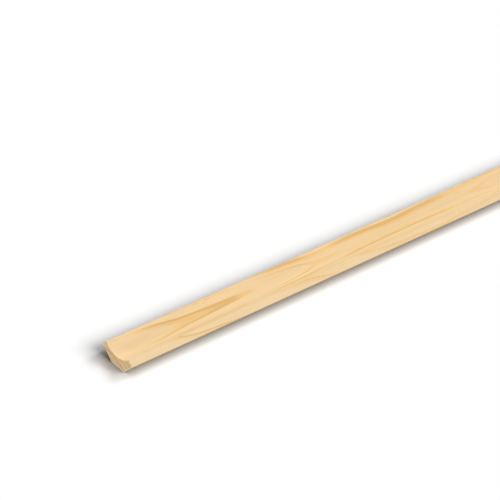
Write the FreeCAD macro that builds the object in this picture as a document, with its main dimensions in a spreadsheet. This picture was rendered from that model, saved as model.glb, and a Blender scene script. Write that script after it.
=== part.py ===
"""Inside corner trim: a length of planed pine cove moulding for the corner of a room.

The stock is sawn square at both ends and moulded on four sides. Its section fits a
right-angled corner: two bevelled faces lie on the wall and the ceiling, a narrow flat back
bridges the corner, two flat lips stand square to the bevels, and a quarter-round cove
joins the lips. Every long arris is eased by a light pass of abrasive.

Frame: +X along the length, +Y across it, +Z up. The trim lies on its flat back, and the
origin is the middle of that back, half way along. Sizes are in millimetres.
"""

import FreeCAD
import Part

import math
import os

import Sketcher

# The driving dimensions, each in millimetres, with what it measures on the trim.
SIZES = {
    "trim_length": (2400.0, "Saw cut to saw cut, one stock length"),
    "leg_length": (25.0, "From the room's corner to a lip's outer arris, along the wall"),
    "lip_width": (6.0, "Flat lip between the bevel and the cove"),
    "back_width": (15.0, "Flat back that bridges the room's corner"),
    "front_arris_radius": (0.5, "Eased arrises of the two lips"),
    "back_arris_radius": (0.8, "Eased arrises of the flat back"),
}

NODE = "corner_trim"

# Names of the lines of the section's sketch, in the order in which they are added. The
# sketch's own axes have numbers below those, and the points of each line count from 1.
BACK, BEVEL_RIGHT, LIP_RIGHT, COVE, LIP_LEFT, BEVEL_LEFT, CORNER_RIGHT, CORNER_LEFT = range(8)
HORIZONTAL_AXIS, VERTICAL_AXIS = range(-1, -3, -1)
START, END, CENTRE = range(1, 4)

# Places closer than this count as one.
TOLERANCE = 0.001


def make_sheet(doc):
    """Puts the driving dimensions in a spreadsheet, each cell with its name as an alias."""
    sheet = doc.addObject("Spreadsheet::Sheet", "Sizes")
    for row, (name, (value, meaning)) in enumerate(SIZES.items(), start=1):
        sheet.set(f"A{row}", name)
        sheet.set(f"B{row}", str(value))
        sheet.set(f"C{row}", meaning)
        sheet.setAlias(f"B{row}", name)
    doc.recompute()
    return sheet


def section_points(sheet):
    """The section's corners as (y, z), worked out from the sheet, for the sketch to start from."""
    half_width = sheet.leg_length / math.sqrt(2)
    half_back = sheet.back_width / 2
    lip_rise = sheet.lip_width / math.sqrt(2)
    tip_height = half_width - half_back
    return {
        "corner": (0.0, -half_back),
        "back": (half_back, 0.0),
        "tip": (half_width, tip_height),
        "lip": (half_width - lip_rise, tip_height + lip_rise),
        "cove_centre": (0.0, 2 * half_width - half_back),
    }


def vector(point, side=1):
    """A sketch point, mirrored to the left where side is -1."""
    return FreeCAD.Vector(side * point[0], point[1], 0)


def draw_section(sketch, sheet):
    """Draws the section and holds it with constraints, so that it is fully defined."""
    points = section_points(sheet)
    radius = math.dist(points["cove_centre"], points["lip"])
    circle = Part.Circle(vector(points["cove_centre"]), FreeCAD.Vector(0, 0, 1), radius)

    def line(first, second):
        sketch.addGeometry(Part.LineSegment(first, second), False)

    line(vector(points["back"], -1), vector(points["back"]))
    line(vector(points["back"]), vector(points["tip"]))
    line(vector(points["tip"]), vector(points["lip"]))
    sketch.addGeometry(Part.ArcOfCircle(circle, math.radians(225), math.radians(315)), False)
    line(vector(points["lip"], -1), vector(points["tip"], -1))
    line(vector(points["tip"], -1), vector(points["back"], -1))
    for side in (1, -1):
        edge = Part.LineSegment(vector(points["corner"]), vector(points["back"], side))
        sketch.addGeometry(edge, True)

    def hold(kind, *arguments):
        return sketch.addConstraint(Sketcher.Constraint(kind, *arguments))

    def hold_size(alias, kind, *arguments):
        index = hold(kind, *arguments, getattr(sheet, alias))
        sketch.renameConstraint(index, alias)
        sketch.setExpression(f"Constraints.{alias}", f"Sizes.{alias}")

    # The outline closes, and the room's corner is where the two bevels would meet.
    hold("Coincident", BACK, END, BEVEL_RIGHT, START)
    hold("Coincident", BEVEL_RIGHT, END, LIP_RIGHT, START)
    hold("Coincident", LIP_RIGHT, END, COVE, END)
    hold("Coincident", COVE, START, LIP_LEFT, START)
    hold("Coincident", LIP_LEFT, END, BEVEL_LEFT, START)
    hold("Coincident", BEVEL_LEFT, END, BACK, START)
    hold("Coincident", CORNER_RIGHT, START, CORNER_LEFT, START)
    hold("Coincident", CORNER_RIGHT, END, BEVEL_RIGHT, START)
    hold("Coincident", CORNER_LEFT, END, BACK, START)
    hold("Parallel", CORNER_RIGHT, BEVEL_RIGHT)
    hold("Parallel", CORNER_LEFT, BEVEL_LEFT)

    # The section is symmetric about the upright through the middle of its back.
    hold("Symmetric", BACK, START, BACK, END, HORIZONTAL_AXIS, START)
    hold("Horizontal", BACK)
    hold("Symmetric", BEVEL_RIGHT, END, BEVEL_LEFT, START, VERTICAL_AXIS)
    hold("Symmetric", LIP_RIGHT, END, LIP_LEFT, START, VERTICAL_AXIS)

    # Wall and ceiling are square to each other, and each lip is square to its bevel. The cove
    # is centred where the two lips' planes would meet, so it meets each lip square.
    hold("Perpendicular", CORNER_RIGHT, CORNER_LEFT)
    hold("Perpendicular", BEVEL_RIGHT, LIP_RIGHT)
    hold("PointOnObject", COVE, CENTRE, LIP_RIGHT)

    hold_size("back_width", "Distance", BACK)
    hold_size("leg_length", "Distance", CORNER_RIGHT, START, BEVEL_RIGHT, END)
    hold_size("lip_width", "Distance", LIP_RIGHT)


def add_section(body, sheet):
    """The moulder's section, on the plane across the length."""
    sketch = body.newObject("Sketcher::SketchObject", "Section")
    plane = next(item for item in body.Origin.OriginFeatures if item.Role == "YZ_Plane")
    sketch.AttachmentSupport = (plane, [""])
    sketch.MapMode = "FlatFace"
    draw_section(sketch, sheet)
    sketch.Document.recompute()
    return sketch


def add_length(body, sketch):
    """The section run out to the stock length, half each way, and sawn square."""
    pad = body.newObject("PartDesign::Pad", "StockLength")
    pad.Profile = sketch
    pad.SideType = "Symmetric"
    pad.setExpression("Length", "Sizes.trim_length")
    body.Document.recompute()
    return pad


def long_edges(shape, places):
    """Names of the edges along X that pass through the given (y, z) places."""
    names = []
    for number, edge in enumerate(shape.Edges, start=1):
        box = edge.BoundBox
        if box.YLength > TOLERANCE or box.ZLength > TOLERANCE:
            continue
        if any(math.dist((box.YMin, box.ZMin), place) < TOLERANCE for place in places):
            names.append(f"Edge{number}")
    return names


def ease_arrises(body, base, name, places, alias):
    """Rounds the long arrises at the given places of the section, on both sides."""
    both_sides = [(side * y, z) for y, z in places for side in (1, -1)]
    fillet = body.newObject("PartDesign::Fillet", name)
    fillet.Base = (base, long_edges(base.Shape, both_sides))
    fillet.setExpression("Radius", f"Sizes.{alias}")
    body.Document.recompute()
    return fillet


def make_trim(doc, sheet):
    """The trim, one piece of wood."""
    body = doc.addObject("PartDesign::Body", "CornerTrim")
    body.Label = NODE
    points = section_points(sheet)
    sketch = add_section(body, sheet)
    pad = add_length(body, sketch)
    front = [points["tip"], points["lip"]]
    lips = ease_arrises(body, pad, "EasedLips", front, "front_arris_radius")
    ease_arrises(body, lips, "EasedBack", [points["back"]], "back_arris_radius")
    return body


def check(doc, body):
    """Stops if any feature failed, the section is loose, or the trim isn't one sound solid."""
    for item in doc.Objects:
        if "Invalid" in item.State or "Error" in item.State:
            raise RuntimeError(f"{item.Label} failed: {item.State}")
    sketch = doc.getObject("Section")
    if sketch.solve() != 0 or not sketch.FullyConstrained:
        raise RuntimeError("the section isn't fully constrained")
    shape = body.Shape
    if shape.isNull() or not shape.isValid() or len(shape.Solids) != 1:
        raise RuntimeError("the trim isn't one valid solid")


def main():
    doc = FreeCAD.newDocument("CornerTrim")
    sheet = make_sheet(doc)
    body = make_trim(doc, sheet)
    doc.recompute()
    check(doc, body)
    os.makedirs("parts", exist_ok=True)
    body.Shape.exportStep(os.path.join("parts", f"{body.Label}.step"))
    box = body.Shape.BoundBox
    print(f"{body.Label}: {box.XLength:.1f} x {box.YLength:.2f} x {box.ZLength:.2f} mm")
    print(f"volume {body.Shape.Volume / 1000:.1f} cm3, {len(body.Shape.Faces)} faces")


main()
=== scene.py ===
"""Inside corner trim: a length of planed pine cove moulding, with its floor, light and camera.

Run as a script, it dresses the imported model. It is laid out as an add-on: the settings are
property groups, one operator moulds and finishes the trim, and one sets the stage.
Frame: +X along the trim, +Y across it, +Z up, in metres, with the origin in the middle of the
flat back that the trim lies on.
"""

import math

import bmesh
import bpy
from mathutils import Matrix, Vector, kdtree, noise


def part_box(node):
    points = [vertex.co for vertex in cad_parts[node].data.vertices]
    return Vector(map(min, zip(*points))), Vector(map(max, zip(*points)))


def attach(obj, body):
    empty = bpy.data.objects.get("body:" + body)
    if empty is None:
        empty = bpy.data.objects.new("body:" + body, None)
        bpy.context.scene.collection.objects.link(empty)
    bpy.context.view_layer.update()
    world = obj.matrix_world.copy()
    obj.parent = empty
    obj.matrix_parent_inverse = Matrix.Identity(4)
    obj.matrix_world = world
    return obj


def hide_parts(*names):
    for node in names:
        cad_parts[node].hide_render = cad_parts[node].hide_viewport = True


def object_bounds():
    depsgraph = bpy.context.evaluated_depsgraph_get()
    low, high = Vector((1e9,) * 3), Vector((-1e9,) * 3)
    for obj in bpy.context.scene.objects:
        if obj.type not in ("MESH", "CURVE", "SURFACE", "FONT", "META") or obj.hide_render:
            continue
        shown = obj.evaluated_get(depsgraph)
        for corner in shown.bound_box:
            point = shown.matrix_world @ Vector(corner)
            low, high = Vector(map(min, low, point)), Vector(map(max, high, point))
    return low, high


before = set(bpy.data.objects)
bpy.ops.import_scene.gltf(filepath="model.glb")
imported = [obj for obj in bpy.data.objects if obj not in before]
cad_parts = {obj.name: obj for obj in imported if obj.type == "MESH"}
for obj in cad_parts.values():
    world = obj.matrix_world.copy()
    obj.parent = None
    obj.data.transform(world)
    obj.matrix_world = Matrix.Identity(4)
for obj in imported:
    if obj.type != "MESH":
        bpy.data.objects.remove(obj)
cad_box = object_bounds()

bl_info = {
    "name": "Pine Corner Trim",
    "version": (1, 0, 0),
    "blender": (4, 5, 0),
    "location": "3D Viewport > Sidebar > Corner Trim",
    "description": "Moulds a length of pine corner trim and sets it on a pale floor",
    "category": "Object",
}

NODE = "corner_trim"
PIECE = "pine_corner_trim"
BODY = "root"

# Name of the mark that the trim's points carry for how much painted highlight the ends' rims get,
# a paler colour that gives a thin light line.
RIM_HIGHLIGHT = "rubbed"

MM = 0.001
FULL_TURN = math.radians(360)
QUARTER_TURN = math.radians(90)
EIGHTH_TURN = math.radians(45)

# The photograph's frame is square, with this many pixels a side.
PHOTO_SIZE = 500

# Places closer than this count as one.
TOUCHING = 0.001 * MM

# A face belongs to an end where its normal points along the trim by more than this.
SQUARE_ON = 0.9
# Faces that meet at a smaller angle than this are shaded as one curve.
SMOOTH_ANGLE = math.radians(40)

# The long faces are mapped in this many rows, each with as many faces along it.
ROWS = 5
FACES_IN_ROW = 40

# Trim is seldom cut quite along its stem, so the cut runs out through the rings. This is
# through how many, at places along the trim in millimetres from its near end. The cove's
# figure comes from it: where the number rises or falls, the rings show as tongues. The first
# 370 mm follow the photo, and the rest is made up in the same manner, as it is in the next
# two tables.
RINGS_PASSED = (
    (0, -1.2), (28, -1), (46, -0.6), (60, -0.31), (74, -0.21), (88, -0.14), (102, -0.085),
    (114, -0.045), (121, -0.01), (129, 0.14), (140, 0.33), (159, 0.53), (172, 0.78),
    (180, 0.92), (194, 0.95), (210, 1), (232, 1.1), (258, 1.25), (284, 1.17), (314, 1.03),
    (332, 0.99), (368, 0.52), (470, 0.1), (560, 0.5), (660, 1.3), (760, 1), (860, 0.2),
    (980, -0.6), (1080, -0.3), (1200, 0.5), (1330, 1.6), (1460, 2.1), (1600, 1.7),
    (1720, 1), (1850, 0.7), (1990, 1.1), (2130, 0.4), (2260, -0.5), (2400, -0.9),
)

# How far the middle of the stem leans to +Y at such places, in millimetres.
STEM_LEAN = (
    (0, -2), (46, -3.3), (74, -4), (107, -3.3), (140, -5), (170, -5.2), (191, -3.2),
    (210, -0.6), (232, 1), (258, 0.4), (286, 1.8), (314, 1.6), (332, 1.8), (368, -0.3),
    (700, -3), (1100, 4), (1500, -2), (1900, 3), (2400, -1),
)

# How strongly the summer wood shows at such places, where 1 is in full.
SUMMER_WOOD = (
    (0, 0.1), (20, 0.25), (35, 0.85), (56, 1), (91, 1), (108, 0.7), (121, 0.4), (135, 0.9),
    (162, 1), (176, 0.7), (190, 0.5), (204, 0.8), (216, 1), (291, 1), (329, 0.5),
    (368, 0.5), (500, 0.9), (800, 0.7), (1100, 1), (1500, 0.8), (1800, 1), (2100, 0.85),
    (2400, 0.9),
)

# A ring's wood is no more than warm up to this share of latewood, and darkens past it.
WARM_TONE = 0.5

# A typical index of refraction for wood.
WOOD_IOR = 1.5

# Where each lamp hangs, as the direction and the height in degrees in which it is seen from
# the trim, its share of the light on a level face, and its softness in degrees. The floor
# lamps light only the floor, where the trim still throws its shadow, and the trim lamps light
# only the trim.
FLOOR_LAMPS = {
    "floor_side": (277, 33, 0.39, 25),
    "floor_middle": (302, 29, 0.23, 25),
    "floor_far": (332, 42, 0.28, 25),
    "floor_end": (0, 35, 0.08, 30),
}
TRIM_LAMPS = {
    "trim_left": (134, 25, 0.42, 25),
    "trim_right": (285, 35, 0.49, 25),
}


class TrimShape(bpy.types.PropertyGroup):
    """Sizes of the moulded section and of its sawn ends."""

    lip_width: bpy.props.FloatProperty(
        name="Lip width",
        description="Flat lip between the bevel and the cove",
        default=6 * MM,
        unit="LENGTH",
    )
    back_width: bpy.props.FloatProperty(
        name="Back width",
        description="Flat back that bridges the room's corner",
        default=15 * MM,
        unit="LENGTH",
    )
    front_arris: bpy.props.FloatProperty(
        name="Front arris",
        description="Radius of the eased arrises of the two lips",
        default=0.5 * MM,
        unit="LENGTH",
    )
    back_arris: bpy.props.FloatProperty(
        name="Back arris",
        description="Radius of the eased arrises of the flat back",
        default=0.8 * MM,
        unit="LENGTH",
    )
    end_arris: bpy.props.FloatProperty(
        name="End arris",
        description="Radius of the eased rim of a sawn end",
        default=0.25 * MM,
        unit="LENGTH",
    )
    end_border: bpy.props.FloatProperty(
        name="End border",
        description="Width of the narrow faces just inside an end's arris",
        default=0.1 * MM,
        unit="LENGTH",
    )
    saw_pitch: bpy.props.FloatProperty(
        name="Saw mark pitch",
        description="From one saw mark to the next across an end",
        default=1.15 * MM,
        unit="LENGTH",
    )
    saw_depth: bpy.props.FloatProperty(
        name="Saw mark depth",
        description="Depth of the deepest saw marks",
        default=0.07 * MM,
        unit="LENGTH",
    )
    blade_across: bpy.props.FloatProperty(
        name="Blade across",
        description="How far the saw's arbor stood to one side of the trim's middle",
        default=90 * MM,
        unit="LENGTH",
    )
    blade_height: bpy.props.FloatProperty(
        name="Blade height",
        description="How far the saw's arbor stood above the flat back",
        default=85 * MM,
        unit="LENGTH",
    )


class TrimGrain(bpy.types.PropertyGroup):
    """How the stem grew, which gives the figure on every face, and the pine's colours."""

    pith_across: bpy.props.FloatProperty(
        name="Pith across",
        description="How far the middle of the stem lies to +Y of the trim's middle",
        default=22 * MM,
        unit="LENGTH",
    )
    pith_height: bpy.props.FloatProperty(
        name="Pith height",
        description="Height of the middle of the stem, below the back where negative",
        default=-44 * MM,
        unit="LENGTH",
    )
    ring_spacing: bpy.props.FloatProperty(
        name="Ring spacing",
        description="Wood that one year added to the stem's radius",
        default=2.45 * MM,
        unit="LENGTH",
    )
    seed: bpy.props.IntProperty(
        name="Seed",
        description="Picks which summers were long and which were short",
        default=115155,
    )
    earlywood: bpy.props.StringProperty(
        name="Earlywood",
        description="Colour of the pale spring wood, as a hex value",
        default="F5D6A5",
    )
    turning_wood: bpy.props.StringProperty(
        name="Turning wood",
        description="Colour where spring wood turns to summer wood, as a hex value",
        default="F2C988",
    )
    latewood: bpy.props.StringProperty(
        name="Latewood",
        description="Colour of the dense summer wood, as a hex value",
        default="E1B570",
    )
    resin: bpy.props.StringProperty(
        name="Resin",
        description="Colour of the resin canals that the cutters opened, as a hex value",
        default="BF8C50",
    )
    end_earlywood: bpy.props.StringProperty(
        name="End earlywood",
        description="Colour of the spring wood where the saw cut across it, as a hex value",
        default="EBC797",
    )
    end_latewood: bpy.props.StringProperty(
        name="End latewood",
        description="Colour of the summer wood where the saw cut across it, as a hex value",
        default="C89D63",
    )
    # Colour of the painted highlight along an end's rim, which gives a thin light line there.
    rim_highlight_colour: bpy.props.StringProperty(
        name="Rubbed rim",
        description="Colour of a rim that rubbing down left paler, as a hex value",
        default="F4E6C8",
    )


class TrimStage(bpy.types.PropertyGroup):
    """The camera, the lamps and the floor."""

    camera_azimuth: bpy.props.FloatProperty(
        name="Camera azimuth",
        description="Direction the camera looks in, turned from +X towards +Y",
        default=math.radians(52.02),
        subtype="ANGLE",
    )
    camera_elevation: bpy.props.FloatProperty(
        name="Camera elevation",
        description="How far the camera looks down",
        default=math.radians(33.12),
        subtype="ANGLE",
    )
    camera_roll: bpy.props.FloatProperty(
        name="Camera roll",
        description="Turn of the camera about its line of sight",
        default=math.radians(0.35),
        subtype="ANGLE",
    )
    camera_distance: bpy.props.FloatProperty(
        name="Camera distance",
        description="From the lens to the near end, measured along the line of sight",
        default=1.2141,
        unit="LENGTH",
    )
    lens: bpy.props.FloatProperty(
        name="Lens",
        description="Focal length in millimetres on a sensor 36 mm wide",
        default=128.1,
    )
    near_foot_pixel: bpy.props.FloatVectorProperty(
        name="Near foot pixel",
        description="Where the middle of the near end's foot falls in the picture",
        size=2,
        default=(118.05, 367.54),
    )
    floor_size: bpy.props.FloatProperty(
        name="Floor size",
        description="Side of the square floor",
        default=40.0,
        unit="LENGTH",
    )
    floor_colour: bpy.props.StringProperty(
        name="Floor colour",
        description="Colour in which the floor throws light back on the trim, as a hex value",
        default="858585",
    )
    # The floor's painted contact shade: its colour darkens close to the trim, set by an occlusion
    # test and not by the lamps.
    painted_shade_reach: bpy.props.FloatProperty(
        name="Contact reach",
        description="How far from the trim the floor is shaded by its nearness",
        default=8 * MM,
        unit="LENGTH",
    )
    painted_shade_strength: bpy.props.FloatProperty(
        name="Contact shade",
        description="How strong that shade is, from 0 for none",
        default=0.55,
    )
    ambient: bpy.props.FloatProperty(
        name="Ambient",
        description="Light that comes evenly from all round",
        default=0.04,
        subtype="FACTOR",
    )


class TrimSettings(bpy.types.PropertyGroup):
    """All the settings of the trim and its stage."""

    shape: bpy.props.PointerProperty(type=TrimShape)
    grain: bpy.props.PointerProperty(type=TrimGrain)
    stage: bpy.props.PointerProperty(type=TrimStage)


class Section:
    """The trim's section on the side towards +Y, followed from the back to the cove."""

    def __init__(self, shape, box):
        low, high = box
        self.length = high.x - low.x
        self.front = shape.front_arris
        # The box ends at the eased tips, and the section is set out from sharp ones.
        half_width = (high.y - low.y) / 2 + self.front * (math.sqrt(2) - 1)
        half_back = shape.back_width / 2
        self.cove_radius = half_width * math.sqrt(2) - shape.lip_width
        self.cove_height = 2 * half_width - half_back
        tip_height = half_width - half_back
        self.arris_centre = (half_width - self.front * math.sqrt(2), tip_height)
        # The arris that joins a lip to the cove has its centre this far from the cove's own,
        # and takes up this angle of the cove.
        outer = self.cove_radius + self.front
        closing = math.asin(self.front / outer)
        back_cut = shape.back_arris * math.tan(EIGHTH_TURN / 2)
        lip_cut = outer * math.cos(closing) - self.cove_radius
        bevel = tip_height * math.sqrt(2) - back_cut - self.front
        # Each run is straight with a length, or an arc with a radius and a turn, and the
        # number of faces along it. Turns to the left, at the arrises, count as positive.
        self.runs = (
            ("straight", half_back - back_cut, 0, 9),
            ("arc", shape.back_arris, EIGHTH_TURN, 3),
            ("straight", bevel, 0, 16),
            ("arc", self.front, QUARTER_TURN, 5),
            ("straight", shape.lip_width - self.front - lip_cut, 0, 6),
            ("arc", self.front, QUARTER_TURN - closing, 4),
            ("arc", self.cove_radius, closing - EIGHTH_TURN, 18),
        )

    def stations(self):
        """Every place along the section as (y, z, way gone from the middle of the back)."""
        y, z, heading, gone = 0.0, 0.0, 0.0, 0.0
        found = [(y, z, gone)]
        for kind, size, turn, count in self.runs:
            arc = size * abs(turn) if kind == "arc" else size
            chord = 2 * size * math.sin(abs(turn) / count / 2) if kind == "arc" else size / count
            for _ in range(count):
                heading += turn / count / 2
                y += chord * math.cos(heading)
                z += chord * math.sin(heading)
                heading += turn / count / 2
                gone += arc / count
                found.append((y, z, gone))
        return found


def linear(hex_colour):
    """A hex value as the colour that a shader takes."""
    channels = [int(hex_colour[at : at + 2], 16) / 255 for at in (0, 2, 4)]
    straight = [c / 12.92 if c <= 0.04045 else ((c + 0.055) / 1.055) ** 2.4 for c in channels]
    return (*straight, 1.0)


def add(tree, kind, inputs=None, **settings):
    """Adds a node. An input is a value, a socket, or a node whose first output is meant."""
    node = tree.nodes.new(kind)
    for name, value in settings.items():
        setattr(node, name, value)
    for key, value in (inputs or {}).items():
        if isinstance(value, bpy.types.Node):
            value = value.outputs[0]
        if isinstance(value, bpy.types.NodeSocket):
            tree.links.new(value, node.inputs[key])
        else:
            node.inputs[key].default_value = value
    return node


def follow(tree, along, places, low, high):
    """Goes smoothly from the number at one place to the next, while along goes from 0 to 1."""
    drawn = add(tree, "ShaderNodeFloatCurve", {"Value": along})
    line = drawn.mapping.curves[0]
    reach = places[-1][0]
    spots = [(place / reach, (number - low) / (high - low)) for place, number in places]
    line.points[0].location = spots[0]
    line.points[-1].location = spots[-1]
    for spot in spots[1:-1]:
        line.points.new(*spot)
    drawn.mapping.update()
    return add(tree, "ShaderNodeMapRange", {"Value": drawn, "To Min": low, "To Max": high})


def stretch(tree, millimetres, along, across):
    """Coordinates in which a fleck of along by across millimetres measures one."""
    return add(
        tree, "ShaderNodeVectorMath",
        {0: millimetres, 1: (1 / along, 1 / across, 1 / across)},
        operation="MULTIPLY",
    )


def direction(azimuth, elevation):
    """The direction that is turned so far from +X towards +Y, and so far up from level."""
    level = math.cos(elevation)
    return Vector((level * math.cos(azimuth), level * math.sin(azimuth), math.sin(elevation)))


def middle(edge):
    """The middle of an edge."""
    return (edge.verts[0].co + edge.verts[1].co) / 2


def select(kind, wanted):
    """Selects the edges or the faces for which wanted is true, and nothing else."""
    bpy.ops.mesh.select_mode(type=kind)
    bpy.ops.mesh.select_all(action="DESELECT")
    mesh = bmesh.from_edit_mesh(bpy.context.edit_object.data)
    for part in {"EDGE": mesh.edges, "FACE": mesh.faces}[kind]:
        if wanted(part):
            part.select_set(True)
    mesh.select_flush_mode()
    bmesh.update_edit_mesh(bpy.context.edit_object.data)


def mould_half(section, end_arris):
    """Runs a strip of the flat back round the section, as far as the middle of the cove."""
    _, back, _, faces_on_back = section.runs[0]
    strip = back / faces_on_back
    bpy.ops.mesh.primitive_plane_add(size=1, location=(0, strip / 2, 0))
    piece = bpy.context.object
    piece.name = PIECE
    piece.scale = (section.length - 2 * end_arris, strip, 1)
    bpy.ops.object.transform_apply(location=True, rotation=True, scale=True)
    bpy.ops.object.mode_set(mode="EDIT")
    select("EDGE", lambda edge: abs(middle(edge).y - strip) < TOUCHING)
    for _ in range(faces_on_back - 1):
        bpy.ops.mesh.extrude_region_move(TRANSFORM_OT_translate={"value": (0, strip, 0)})
    y, z, heading = back, 0.0, 0.0
    for kind, size, turn, count in section.runs[1:]:
        ahead = Vector((0, math.cos(heading), math.sin(heading)))
        if kind == "straight":
            step = ahead * size / count
            for _ in range(count):
                bpy.ops.mesh.extrude_region_move(TRANSFORM_OT_translate={"value": step})
            y, z = y + ahead.y * size, z + ahead.z * size
            continue
        # The strip swings round a centre that lies to its left or right.
        side = math.copysign(1, turn)
        centre = (0, y - side * size * ahead.z, z + side * size * ahead.y)
        bpy.ops.mesh.spin(steps=count, angle=abs(turn), center=centre, axis=(-side, 0, 0))
        heading += turn
        y = centre[1] + side * size * math.sin(heading)
        z = centre[2] - side * size * math.cos(heading)
    bpy.ops.object.mode_set(mode="OBJECT")
    return piece


def mirror_half(piece):
    """Adds the other half of the section."""
    bpy.ops.object.modifier_add(type="MIRROR")
    mirror = piece.modifiers[-1]
    mirror.use_axis = (False, True, False)
    mirror.merge_threshold = TOUCHING
    bpy.ops.object.modifier_apply(modifier=mirror.name)


def close_end(section, shape, side):
    """Closes the end that faces side: an eased arris, a narrow border, then an even grid."""
    arris_steps, grid_cuts = 3, 3
    planed = section.length / 2 - shape.end_arris
    rim = planed - TOUCHING
    select("EDGE", lambda edge: edge.is_boundary and side * middle(edge).x > rim)
    bpy.ops.mesh.edge_face_add()
    bpy.ops.mesh.select_all(action="SELECT")
    bpy.ops.mesh.normals_make_consistent(inside=False)
    select("FACE", lambda face: side * face.normal.x > SQUARE_ON)
    for step in range(arris_steps):
        start = step * QUARTER_TURN / arris_steps
        stop = (step + 1) * QUARTER_TURN / arris_steps
        bpy.ops.mesh.inset(
            thickness=shape.end_arris * (math.cos(start) - math.cos(stop)),
            depth=shape.end_arris * (math.sin(stop) - math.sin(start)),
        )
    bpy.ops.mesh.inset(thickness=shape.end_border, depth=0)
    bpy.ops.mesh.delete(type="ONLY_FACE")

    # The grid joins the edges round the back and bevels to those round the lips and cove. It
    # leaves out the short arcs round the two tips, which lie within this of their centres.
    tip_reach = 0.7 * section.front

    def off_the_tips(edge):
        at = middle(edge)
        from_tip = math.dist((abs(at.y), at.z), section.arris_centre)
        return edge.is_boundary and side * at.x > planed and from_tip > tip_reach

    select("EDGE", off_the_tips)
    bpy.ops.mesh.fill_grid(use_interp_simple=True)
    bpy.ops.mesh.subdivide(number_cuts=grid_cuts)


def cut_along(section):
    """Divides the long faces along the trim, with a cut wherever the map starts a row."""
    for parts, shortest in ((ROWS, section.length / 2), (FACES_IN_ROW, section.length / ROWS / 2)):
        select("EDGE", lambda edge: abs(edge.verts[0].co.x - edge.verts[1].co.x) > shortest)
        bpy.ops.mesh.subdivide(number_cuts=parts - 1)


def saw_ends(piece, section, shape):
    """Presses the blade's arcs into both ends, deeper in some places than in others."""
    # From patch to patch the marks wander, by so many radians of a wave, and change in depth.
    patch, wander, usual_share, change = 6 * MM, 3, 0.6, 0.4
    end = section.length / 2
    for vertex in piece.data.vertices:
        if abs(vertex.co.x) < end - TOUCHING:
            continue
        side = math.copysign(1, vertex.co.x)
        patchy = noise.noise(Vector((side, vertex.co.y / patch, vertex.co.z / patch)))
        arbor = (side * shape.blade_across, shape.blade_height)
        reach = math.dist((vertex.co.y, vertex.co.z), arbor)
        wave = (1 + math.sin(FULL_TURN * reach / shape.saw_pitch + wander * patchy)) / 2
        vertex.co.x -= side * shape.saw_depth * wave * (usual_share + change * patchy)


def outline_tree(stations):
    """Places along the section's outline, ready for the nearest one to be found."""
    tree = kdtree.KDTree(len(stations))
    for index, (y, z, _) in enumerate(stations):
        tree.insert((0, y, z), index)
    tree.balance()
    return tree


def paint_rim_highlight(piece, section, end_arris):
    """Marks how much painted highlight each point of the ends gets, from 1 at the rim to 0 further
    in.

    The painted highlight runs along the back and the bevels, and leaves out the lips and the cove.
    """
    full_width, fading_width = 0.4 * MM, 0.5 * MM
    stations = section.stations()
    tip = max(range(len(stations)), key=lambda index: stations[index][0])
    tree = outline_tree(stations[: tip + 1])
    layer = piece.data.attributes.new(RIM_HIGHLIGHT, "FLOAT", "POINT")
    planed = section.length / 2 - end_arris
    for vertex in piece.data.vertices:
        if abs(vertex.co.x) > planed:
            _, _, way_in = tree.find((0, abs(vertex.co.y), vertex.co.z))
            rubbed = 1 - (way_in - full_width) / fading_width
            layer.data[vertex.index].value = min(max(rubbed, 0), 1)


def map_faces(piece, section, end_arris):
    """Lays the faces out flat: the long ones in rows at one scale, the ends at twice that."""
    gap = 3 * MM
    end_scale = 2
    stations = section.stations()
    ways = [gone for _, _, gone in stations]
    girth = ways[-1]
    tree = outline_tree(stations)
    row_length = section.length / ROWS
    row_pitch = 2 * girth + gap
    sheet = row_length + 2 * gap
    width = end_scale * (cad_box[1][1] - cad_box[0][1])
    planed = section.length / 2 - end_arris
    layer = piece.data.uv_layers.new(name="OFBake")
    for face in piece.data.polygons:
        end = math.copysign(1, face.center.x) if abs(face.center.x) > planed else 0
        row = min(int((face.center.x + section.length / 2) / row_length), ROWS - 1)
        side = math.copysign(1, face.center.y)
        for corner in face.loop_indices:
            at = piece.data.vertices[piece.data.loops[corner].vertex_index].co
            if end:
                across = gap + width / 2 + (width + gap if end > 0 else 0)
                u = across + end_scale * end * at.y
                v = ROWS * row_pitch + gap + end_scale * at.z
            else:
                _, index, _ = tree.find((0, abs(at.y), at.z))
                u = gap + at.x + section.length / 2 - row * row_length
                v = gap + girth + row * row_pitch + side * (girth - ways[index])
            layer.data[corner].uv = (u / sheet, v / sheet)


def waver(tree, millimetres):
    """Each point's x, y and z, shifted a little across the grain.

    A stem is never quite round, so its rings waver by up to a quarter of a millimetre.
    """
    bend_along, bend_across, bend = 90, 14, 0.5
    bends = add(
        tree, "ShaderNodeTexNoise",
        {"Vector": stretch(tree, millimetres, bend_along, bend_across), "Scale": 1, "Detail": 3},
    )
    centred = add(
        tree, "ShaderNodeVectorMath", {0: bends.outputs["Color"], 1: (0.5, 0.5, 0.5)},
        operation="SUBTRACT",
    )
    shift = add(
        tree, "ShaderNodeVectorMath", {0: centred, 1: (0, bend, bend)}, operation="MULTIPLY"
    )
    wavering = add(
        tree, "ShaderNodeVectorMath", {0: millimetres, 1: shift}, operation="ADD"
    )
    return add(tree, "ShaderNodeSeparateXYZ", {0: wavering})


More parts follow.
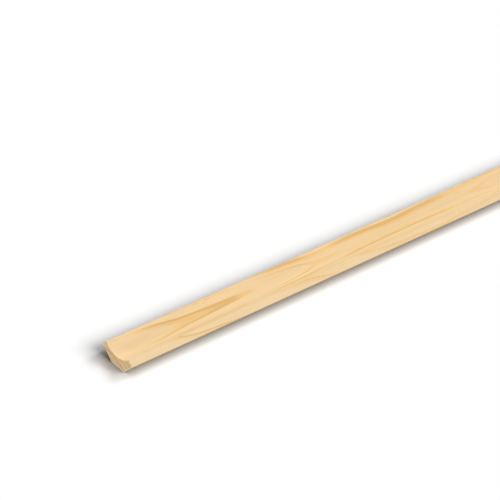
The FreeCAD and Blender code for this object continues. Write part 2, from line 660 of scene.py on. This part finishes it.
def count_years(tree, grain, section, parts, along):
    """The way out to each point from the pith, and the years that the stem took to get there.

    The pith leans to and fro along the trim.
    """
    most_rings, most_lean = 4, 10
    passed = follow(tree, along, RINGS_PASSED, -most_rings, most_rings)
    lean = follow(tree, along, STEM_LEAN, -most_lean, most_lean)
    pith_y = add(
        tree, "ShaderNodeMath", {0: lean, 1: grain.pith_across / MM}, operation="ADD"
    )
    pith = add(tree, "ShaderNodeCombineXYZ", {"Y": pith_y, "Z": grain.pith_height / MM})
    across = add(
        tree, "ShaderNodeCombineXYZ", {"Y": parts.outputs["Y"], "Z": parts.outputs["Z"]}
    )
    outward = add(tree, "ShaderNodeVectorMath", {0: across, 1: pith}, operation="SUBTRACT")
    radius = add(tree, "ShaderNodeVectorMath", {0: outward}, operation="LENGTH")

    # Years are counted outwards from where the cove lies nearest to the pith, and the rings
    # that the cut has passed are added.
    centre = (0, 0, section.cove_height / MM)
    to_centre = add(
        tree, "ShaderNodeVectorMath", {0: pith, 1: centre}, operation="DISTANCE"
    )
    past_centre = add(
        tree, "ShaderNodeMath",
        {0: radius.outputs["Value"], 1: to_centre.outputs["Value"]},
        operation="SUBTRACT",
    )
    past_cove = add(
        tree, "ShaderNodeMath", {0: past_centre, 1: section.cove_radius / MM}, operation="ADD"
    )
    years = add(
        tree, "ShaderNodeMath", {0: past_cove, 1: grain.ring_spacing / MM}, operation="DIVIDE"
    )
    years = add(tree, "ShaderNodeMath", {0: years, 1: passed}, operation="ADD")
    return outward, years


def grow_latewood(tree, grain, years, across):
    """How far each point's wood is on the way from earlywood, at 0, to the darkest latewood.

    Each year has its own share and depth of summer wood. It turns warm bit by bit, is dark
    for its last weeks, and ends at once with the winter.
    """
    ring = add(tree, "ShaderNodeMath", {0: years}, operation="CEIL")
    ring = add(tree, "ShaderNodeMath", {0: ring, 1: grain.seed}, operation="ADD")
    luck = add(tree, "ShaderNodeTexWhiteNoise", {"W": ring}, noise_dimensions="1D")
    lucks = add(tree, "ShaderNodeSeparateColor", {0: luck.outputs["Color"]})
    season = add(tree, "ShaderNodeMath", {0: years}, operation="FRACT")

    # Summer wood sets in between these shares of the year, and turns warm in the third.
    latest, earliest, turning_share = 0.85, 0.15, 0.3
    onset = add(
        tree, "ShaderNodeMapRange",
        {"Value": lucks.outputs["Green"], "To Min": latest, "To Max": earliest},
    )

    # Near the lip at +Y the summer wood sets in sooner, which makes its bands broader there.
    even_until, broadest_from, sooner_by = 7, 11, 0.27
    sooner = add(
        tree, "ShaderNodeMapRange",
        {"Value": across, "From Min": even_until, "From Max": broadest_from,
         "To Max": sooner_by},
    )
    onset = add(tree, "ShaderNodeMath", {0: onset, 1: sooner}, operation="SUBTRACT")
    turned = add(tree, "ShaderNodeMath", {0: onset, 1: turning_share}, operation="ADD")
    warm = add(
        tree, "ShaderNodeMapRange",
        {"Value": season, "From Min": onset, "From Max": turned, "To Max": WARM_TONE},
        interpolation_type="SMOOTHSTEP",
    )
    latest_dark, darkening_share, winter_sets_in = 0.72, 0.2, 0.95
    darkens = add(
        tree, "ShaderNodeMath", {0: turned, 1: latest_dark}, operation="MINIMUM"
    )
    darkest = add(tree, "ShaderNodeMath", {0: darkens, 1: darkening_share}, operation="ADD")
    dark = add(
        tree, "ShaderNodeMapRange",
        {"Value": season, "From Min": darkens, "From Max": darkest},
        interpolation_type="SMOOTHSTEP",
    )
    winter = add(
        tree, "ShaderNodeMapRange",
        {"Value": season, "From Min": winter_sets_in, "From Max": 1, "To Min": 1, "To Max": 0},
        interpolation_type="SMOOTHSTEP",
    )
    latewood = add(tree, "ShaderNodeMath", {0: warm, 1: dark}, operation="MAXIMUM")
    depth = add(tree, "ShaderNodeMath", {0: luck.outputs["Value"]}, operation="SQRT")
    for share in (winter, depth):
        latewood = add(tree, "ShaderNodeMath", {0: latewood, 1: share}, operation="MULTIPLY")
    return latewood


def add_grain(tree, grain, section):
    """Places each point in the stem, and tells how much of it is latewood.

    Gives the point in millimetres, its share of the way along the trim, its latewood and the
    way out to it from the pith.
    """
    place = add(tree, "ShaderNodeTexCoord").outputs["Object"]
    millimetres = add(
        tree, "ShaderNodeVectorMath", {0: place, "Scale": 1 / MM}, operation="SCALE"
    )
    parts = waver(tree, millimetres)
    length = section.length / MM
    along = add(
        tree, "ShaderNodeMapRange",
        {"Value": parts.outputs["X"], "From Min": -length / 2, "From Max": length / 2},
    )
    outward, years = count_years(tree, grain, section, parts, along)
    latewood = grow_latewood(tree, grain, years, parts.outputs["Y"])
    return millimetres, along, latewood, outward


def new_material(name):
    """A material with an empty tree, and that tree."""
    material = bpy.data.materials.new(name)
    material.use_nodes = True
    material.node_tree.nodes.clear()
    return material, material.node_tree


def tint(tree, colour, amount, other):
    """The colour, turned by amount towards another."""
    # A Mix node's inputs 6 and 7 are its colours, and its output 2 is their mix.
    mix = add(tree, "ShaderNodeMix", {0: amount, 6: colour, 7: other}, data_type="RGBA")
    return mix.outputs[2]


def shade_flecks(tree, colour, flecks):
    """The colour, made lighter and darker by each pattern in turn, by its share."""
    # Noise seldom goes below or above these.
    low, high = 0.2, 0.8
    for pattern, share in flecks:
        light = add(
            tree, "ShaderNodeMapRange",
            {"Value": pattern, "From Min": low, "From Max": high, "To Min": 1 - share,
             "To Max": 1 + share},
        )
        colour = add(
            tree, "ShaderNodeVectorMath", {0: colour, "Scale": light}, operation="SCALE"
        )
    return colour


def resin_canals(tree, millimetres, latewood):
    """How much of a resin canal each point shows. Most canals run through the latewood."""
    # A canal is about 0.2 mm wide, and is drawn at up to twice that to show at all. Its edge
    # and its core are shares of the way to the next canal.
    apart_along, apart_across, edge, core = 34, 1.5, 0.13, 0.05
    earlywood_share = 0.3
    canals = add(
        tree, "ShaderNodeTexVoronoi",
        {"Vector": stretch(tree, millimetres, apart_along, apart_across), "Scale": 1},
    )
    canal = add(
        tree, "ShaderNodeMapRange",
        {"Value": canals.outputs["Distance"], "From Min": edge, "From Max": core},
        interpolation_type="SMOOTHSTEP",
    )
    share = add(
        tree, "ShaderNodeMapRange", {"Value": latewood, "To Min": earlywood_share}
    )
    return add(tree, "ShaderNodeMath", {0: canal, 1: share}, operation="MULTIPLY")


def finish_wood(tree, colour, roughness, height):
    """Ends a wood's tree with its relief, whose height is in millimetres, and its shader."""
    bump = add(tree, "ShaderNodeBump", {"Height": height, "Strength": 1, "Distance": MM})
    shader = add(
        tree, "ShaderNodeBsdfPrincipled",
        {"Base Color": colour, "Roughness": roughness, "IOR": WOOD_IOR, "Normal": bump},
    )
    add(tree, "ShaderNodeOutputMaterial", {"Surface": shader})


def planed_pine(grain, section):
    """Pine planed by a moulder's cutters.

    The knives cut clean, so the face is smooth, with a low sheen. Pale earlywood turns to
    warm latewood in every ring, which makes the figure. The fibres give fine streaks, and
    opened resin canals give short brown dashes.
    """
    material, tree = new_material("Planed pine")
    millimetres, along, latewood, _ = add_grain(tree, grain, section)
    shown = follow(tree, along, SUMMER_WOOD, 0, 1)
    latewood = add(tree, "ShaderNodeMath", {0: latewood, 1: shown}, operation="MULTIPLY")

    # Fibres are 0.03 mm wide, too fine to show, so bundles of them are drawn at 0.4 mm.
    # Streaks are 2 mm wide, and clouds are the wood's slow change from place to place.
    fibres, streaks, clouds = (
        add(
            tree, "ShaderNodeTexNoise",
            {"Vector": stretch(tree, millimetres, length, width), "Scale": 1, "Detail": detail},
        )
        for length, width, detail in ((25, 0.4, 2), (90, 2, 2), (70, 16, 1))
    )

    # Summer wood first turns warm, then dark.
    warm = add(tree, "ShaderNodeMapRange", {"Value": latewood, "From Max": WARM_TONE})
    dark = add(tree, "ShaderNodeMapRange", {"Value": latewood, "From Min": WARM_TONE})
    colour = tint(tree, linear(grain.earlywood), warm, linear(grain.turning_wood))
    colour = tint(tree, colour, dark, linear(grain.latewood))
    faintest, strongest, most_warmth = 0.45, 0.8, 0.35
    warmth = add(
        tree, "ShaderNodeMapRange",
        {"Value": streaks, "From Min": faintest, "From Max": strongest, "To Max": most_warmth},
    )
    colour = tint(tree, colour, warmth, linear(grain.turning_wood))
    canals = resin_canals(tree, millimetres, latewood)
    colour = tint(tree, colour, canals, linear(grain.resin))
    fibre_shade, cloud_shade = 0.04, 0.03
    colour = shade_flecks(
        tree, colour, ((fibres.outputs[0], fibre_shade), (clouds.outputs[0], cloud_shade))
    )

    # Latewood is denser, and the knives leave it smoother.
    earlywood_roughness, latewood_roughness = 0.6, 0.46
    roughness = add(
        tree, "ShaderNodeMapRange",
        {"Value": latewood, "To Min": earlywood_roughness, "To Max": latewood_roughness},
    )

    # The cutters' ripples are 1.5 mm from crest to crest and 0.004 mm deep. Latewood is
    # harder and springs up behind the knife.
    ripple_pitch, ripple_depth, latewood_rise, fibre_depth = 1.5, 0.004, 0.02, 0.012
    place = add(tree, "ShaderNodeSeparateXYZ", {0: millimetres})
    turns = add(
        tree, "ShaderNodeMath", {0: place.outputs["X"], 1: FULL_TURN / ripple_pitch},
        operation="MULTIPLY",
    )
    ripple = add(tree, "ShaderNodeMath", {0: turns}, operation="SINE")
    height = add(
        tree, "ShaderNodeMath", {0: ripple, 1: ripple_depth / 2}, operation="MULTIPLY"
    )
    height = add(
        tree, "ShaderNodeMath", {0: latewood, 1: latewood_rise, 2: height},
        operation="MULTIPLY_ADD",
    )
    height = add(
        tree, "ShaderNodeMath", {0: fibres.outputs[0], 1: fibre_depth, 2: height},
        operation="MULTIPLY_ADD",
    )
    finish_wood(tree, colour, roughness, height)
    return material


def sawn_end_grain(grain, shape, section):
    """Pine cut straight across by a fine circular saw.

    The open ends of the fibres swallow light, so the face is matt and darker than the planed wood.
    The rings cross it as arcs, fine rays run out from the pith across them, and the teeth left
    scratches in wide arcs. Along the back and the bevels the rim gets a painted highlight, a paler
    colour that gives a thin light line there.
    """
    material, tree = new_material("Sawn pine end grain")
    millimetres, _, latewood, outward = add_grain(tree, grain, section)

    # The fibres' open ends are 0.03 mm wide and are drawn at a quarter of a millimetre.
    pore_length, pore_width = 1, 0.25
    pores = add(
        tree, "ShaderNodeTexNoise",
        {"Vector": stretch(tree, millimetres, pore_length, pore_width), "Scale": 1, "Detail": 2},
    )

    # Rays are thinner than a hair and are drawn at half a millimetre, each 6 mm long.
    ray_pitch, ray_length = 0.5, 6
    way_out = add(tree, "ShaderNodeSeparateXYZ", {0: outward})
    bearing = add(
        tree, "ShaderNodeMath", {0: way_out.outputs["Z"], 1: way_out.outputs["Y"]},
        operation="ARCTAN2",
    )
    middle_radius = (section.cove_height - grain.pith_height) / MM
    round_pith = add(
        tree, "ShaderNodeMath", {0: bearing, 1: middle_radius / ray_pitch}, operation="MULTIPLY"
    )
    radius = add(tree, "ShaderNodeVectorMath", {0: outward}, operation="LENGTH")
    out_from_pith = add(
        tree, "ShaderNodeMath", {0: radius.outputs["Value"], 1: ray_length}, operation="DIVIDE"
    )
    ray_place = add(tree, "ShaderNodeCombineXYZ", {"X": round_pith, "Y": out_from_pith})
    rays = add(tree, "ShaderNodeTexNoise", {"Vector": ray_place, "Scale": 1, "Detail": 1})

    # The teeth's scratches go round the same arbor as the saw marks, on its own side at
    # each end. A scratch is 0.1 mm wide and is drawn at 0.3 mm.
    scratch_width = 0.3
    parts = add(tree, "ShaderNodeSeparateXYZ", {0: millimetres})
    side = add(tree, "ShaderNodeMath", {0: parts.outputs["X"]}, operation="SIGN")
    arbor_y = add(
        tree, "ShaderNodeMath", {0: side, 1: shape.blade_across / MM}, operation="MULTIPLY"
    )
    arbor = add(
        tree, "ShaderNodeCombineXYZ",
        {"X": parts.outputs["X"], "Y": arbor_y, "Z": shape.blade_height / MM},
    )
    reach = add(
        tree, "ShaderNodeVectorMath", {0: millimetres, 1: arbor}, operation="DISTANCE"
    )
    swing = add(
        tree, "ShaderNodeMath", {0: reach.outputs["Value"], 1: scratch_width},
        operation="DIVIDE",
    )
    scratches = add(
        tree, "ShaderNodeTexNoise", {"W": swing, "Scale": 1, "Detail": 1},
        noise_dimensions="1D",
    )

    colour = tint(tree, linear(grain.end_earlywood), latewood, linear(grain.end_latewood))
    canals = resin_canals(tree, millimetres, latewood)
    colour = tint(tree, colour, canals, linear(grain.resin))
    pore_shade, ray_shade, scratch_shade = 0.07, 0.05, 0.04
    flecks = (
        (pores.outputs[0], pore_shade),
        (rays.outputs[0], ray_shade),
        (scratches.outputs[0], scratch_shade),
    )
    colour = shade_flecks(tree, colour, flecks)
    # Painted highlight: the end turns paler towards its rim along the back and the bevels, a thin
    # light line.
    rubbed = add(tree, "ShaderNodeAttribute", attribute_name=RIM_HIGHLIGHT).outputs["Fac"]
    colour = tint(tree, colour, rubbed, linear(grain.rim_highlight_colour))

    pore_depth, scratch_depth, sawn_roughness = 0.05, 0.03, 0.85
    height = add(
        tree, "ShaderNodeMath", {0: pores.outputs[0], 1: pore_depth}, operation="MULTIPLY"
    )
    height = add(
        tree, "ShaderNodeMath", {0: scratches.outputs[0], 1: scratch_depth, 2: height},
        operation="MULTIPLY_ADD",
    )
    finish_wood(tree, colour, sawn_roughness, height)
    return material


class MouldTrim(bpy.types.Operator):
    """Mould the length of trim, saw its ends and finish it as planed pine"""

    bl_idname = "pine_trim.mould"
    bl_label = "Mould the Trim"

    def execute(self, context):
        settings = context.scene.pine_trim
        shape = settings.shape
        section = Section(shape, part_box(NODE))
        bpy.ops.object.select_all(action="DESELECT")
        piece = mould_half(section, shape.end_arris)
        mirror_half(piece)
        bpy.ops.object.mode_set(mode="EDIT")
        for side in (-1, 1):
            close_end(section, shape, side)
        cut_along(section)
        bpy.ops.mesh.select_all(action="SELECT")
        bpy.ops.mesh.normals_make_consistent(inside=False)
        bpy.ops.object.mode_set(mode="OBJECT")
        map_faces(piece, section, shape.end_arris)
        paint_rim_highlight(piece, section, shape.end_arris)
        saw_ends(piece, section, shape)
        bpy.ops.object.shade_smooth_by_angle(angle=SMOOTH_ANGLE)

        finishes = (
            planed_pine(settings.grain, section),
            sawn_end_grain(settings.grain, shape, section),
        )
        for finish in finishes:
            piece.data.materials.append(finish)
        sawn = section.length / 2 - shape.end_arris / 2
        for face in piece.data.polygons:
            if abs(face.center.x) > sawn and abs(face.normal.x) > SQUARE_ON:
                face.material_index = 1
        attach(piece, BODY)
        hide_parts(NODE)
        return {"FINISHED"}


def light_only(lamps, lit):
    """Keeps the lamps' light to one object, as a studio's flags do."""
    group = bpy.data.collections.new(f"Lights for the {lit.name}")
    group.objects.link(lit)
    for lamp in lamps:
        lamp.light_linking.receiver_collection = group


def rays_seen(tree):
    """1 for the rays that the camera sees, straight or by way of gloss or glass, or else 0."""
    rays = add(tree, "ShaderNodeLightPath")
    seen = add(
        tree, "ShaderNodeMath",
        {0: rays.outputs["Is Camera Ray"], 1: rays.outputs["Is Glossy Ray"]},
        operation="MAXIMUM",
    )
    return add(
        tree, "ShaderNodeMath", {0: seen, 1: rays.outputs["Is Transmission Ray"]},
        operation="MAXIMUM",
    )


def lay_floor(stage):
    """A plain pale floor, which the camera sees as white wherever neither a shadow nor the painted
    contact shade lies on it.
    """
    bpy.ops.mesh.primitive_plane_add(size=stage.floor_size, location=(0, 0, 0))
    floor = bpy.context.object
    floor.name = "floor"
    material, tree = new_material("Pale floor")

    # Painted contact shade: the floor's colour darkens where the trim is close by, since light
    # from all round would not reach into the narrow gaps beside the trim's foot.
    gap = add(
        tree, "ShaderNodeAmbientOcclusion", {"Distance": stage.painted_shade_reach}, samples=16
    )
    painted_contact_shade = add(
        tree, "ShaderNodeMath", {0: gap.outputs["AO"], 1: stage.painted_shade_strength},
        operation="POWER",
    )
    # The camera sees white under the painted contact shade, and other rays see the floor's own
    # colour.
    paint = tint(tree, linear(stage.floor_colour), rays_seen(tree), painted_contact_shade)
    shader = add(tree, "ShaderNodeBsdfDiffuse", {"Color": paint})
    add(tree, "ShaderNodeOutputMaterial", {"Surface": shader})
    floor.data.materials.append(material)
    return floor


def hang_lamp(name, azimuth, elevation, share, softness):
    """A soft lamp far off, in the given direction, that gives its share of a floor's light."""
    bpy.ops.object.light_add(type="SUN")
    lamp = bpy.context.object
    lamp.name = name
    azimuth, elevation = math.radians(azimuth), math.radians(elevation)
    way = direction(azimuth, elevation)
    lamp.rotation_euler = way.to_track_quat("Z", "Y").to_euler()
    # A sun of strength pi straight above would give a floor the whole of its light.
    lamp.data.energy = math.pi * share / math.sin(elevation)
    lamp.data.angle = math.radians(softness)
    return lamp


def light_room(stage):
    """Even light from all round, white where the camera looks straight at it."""
    world = bpy.data.worlds.new("Pale room")
    bpy.context.scene.world = world
    world.use_nodes = True
    tree = world.node_tree
    tree.nodes.clear()
    strength = add(
        tree, "ShaderNodeMapRange",
        {"Value": rays_seen(tree), "To Min": stage.ambient, "To Max": 1},
    )
    sky = add(tree, "ShaderNodeBackground", {"Color": (1, 1, 1, 1), "Strength": strength})
    add(tree, "ShaderNodeOutputWorld", {"Surface": sky})


def aim_camera(stage):
    """The photograph's view, worked out from where the near end's foot falls in the picture."""
    ahead = direction(stage.camera_azimuth, -stage.camera_elevation)
    level = direction(stage.camera_azimuth - QUARTER_TURN, 0)
    right = Matrix.Rotation(stage.camera_roll, 3, ahead) @ level
    up = right.cross(ahead)
    bpy.ops.object.camera_add()
    camera = bpy.context.object
    camera.data.lens = stage.lens
    pixel = camera.data.sensor_width / stage.lens / PHOTO_SIZE * stage.camera_distance
    across = (stage.near_foot_pixel[0] - PHOTO_SIZE / 2) * pixel
    down = (stage.near_foot_pixel[1] - PHOTO_SIZE / 2) * pixel
    foot = Vector((cad_box[0][0], 0, 0))
    eye = foot - ahead * stage.camera_distance - right * across + up * down
    axes = Matrix((right, up, -ahead)).transposed()
    camera.matrix_world = Matrix.Translation(eye) @ axes.to_4x4()
    bpy.context.scene.camera = camera


class SetStage(bpy.types.Operator):
    """Lay the floor, hang the lamps and aim the camera"""

    bl_idname = "pine_trim.stage"
    bl_label = "Set the Stage"

    def execute(self, context):
        stage = context.scene.pine_trim.stage
        floor = lay_floor(stage)
        light_room(stage)
        trim = bpy.data.objects[PIECE]
        for lamps, lit in ((FLOOR_LAMPS, floor), (TRIM_LAMPS, trim)):
            hung = [hang_lamp(name, *lamp) for name, lamp in lamps.items()]
            light_only(hung, lit)
        aim_camera(stage)
        context.scene.view_settings.view_transform = "Standard"
        return {"FINISHED"}


class TrimPanel(bpy.types.Panel):
    """Lists the steps that make the trim and its stage"""

    bl_idname = "VIEW3D_PT_pine_trim"
    bl_label = "Corner Trim"
    bl_space_type = "VIEW_3D"
    bl_region_type = "UI"
    bl_category = "Corner Trim"

    def draw(self, context):
        settings = context.scene.pine_trim
        for group, operator in (
            ((settings.shape, settings.grain), MouldTrim),
            ((settings.stage,), SetStage),
        ):
            box = self.layout.box()
            for sizes in group:
                for name in sizes.__annotations__:
                    box.prop(sizes, name)
            box.operator(operator.bl_idname)


CLASSES = (TrimShape, TrimGrain, TrimStage, TrimSettings, MouldTrim, SetStage, TrimPanel)


def register():
    for item in CLASSES:
        bpy.utils.register_class(item)
    bpy.types.Scene.pine_trim = bpy.props.PointerProperty(type=TrimSettings)


def unregister():
    del bpy.types.Scene.pine_trim
    for item in reversed(CLASSES):
        bpy.utils.unregister_class(item)


def main():
    register()
    bpy.ops.pine_trim.mould()
    bpy.ops.pine_trim.stage()


if __name__ == "__main__":
    main()
